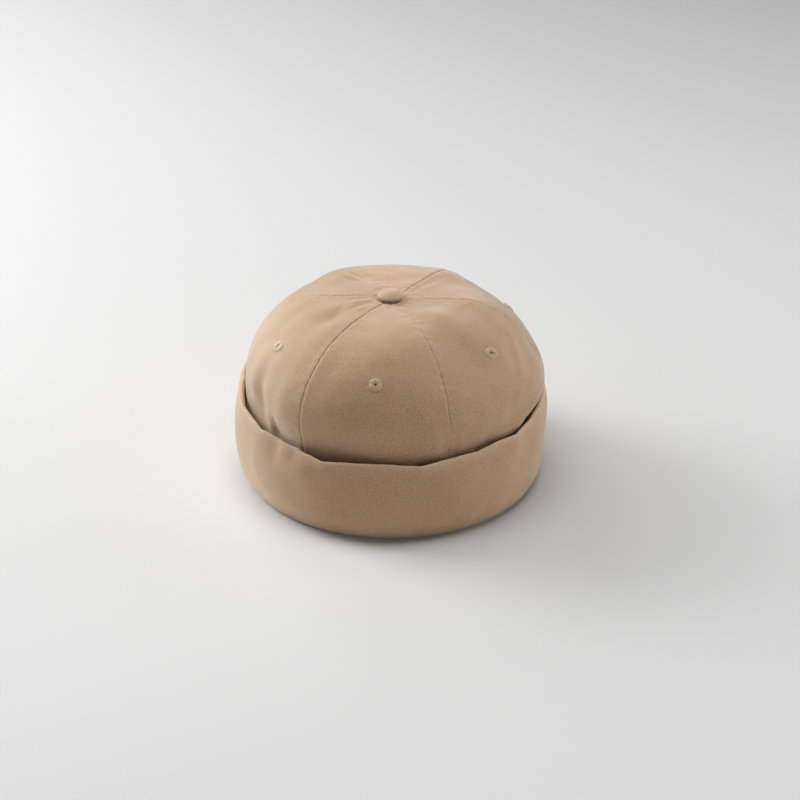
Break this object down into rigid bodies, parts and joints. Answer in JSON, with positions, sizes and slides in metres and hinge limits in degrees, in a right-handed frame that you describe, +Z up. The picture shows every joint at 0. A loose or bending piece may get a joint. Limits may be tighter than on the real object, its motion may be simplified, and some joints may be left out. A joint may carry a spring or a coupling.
{
  "type": "docker cap",
  "caption": "Brimless cotton twill docker cap with a wedge-panelled crown, a covered top button, stitched eyelets and a wide turned-up cuff, resting on its lower edge.",
  "frame": {"origin": "middle of the bounding box's base, on the surface the cap rests on", "axes": "+Z up through the top button, front panel towards -Y, right as seen from the front towards +X"},
  "size_m": [0.2059, 0.2059, 0.1277],
  "materials": {
    "crown_twill": "tan cotton twill, matt",
    "cuff_twill": "tan cotton twill, doubled, matt",
    "button_twill": "tan cotton twill over a button, matt",
    "eyelet_thread": "tan embroidery thread"
  },
  "bodies": {
    "root": {"panel_front": "crown_twill", "panel_front_right": "crown_twill", "panel_back_right": "crown_twill", "panel_back": "crown_twill", "panel_back_left": "crown_twill", "panel_front_left": "crown_twill", "cuff": "cuff_twill", "top_button": "button_twill", "eyelet_front": "eyelet_thread", "eyelet_front_right": "eyelet_thread", "eyelet_back_right": "eyelet_thread", "eyelet_back": "eyelet_thread", "eyelet_back_left": "eyelet_thread", "eyelet_front_left": "eyelet_thread"}
  },
  "joints": []
}
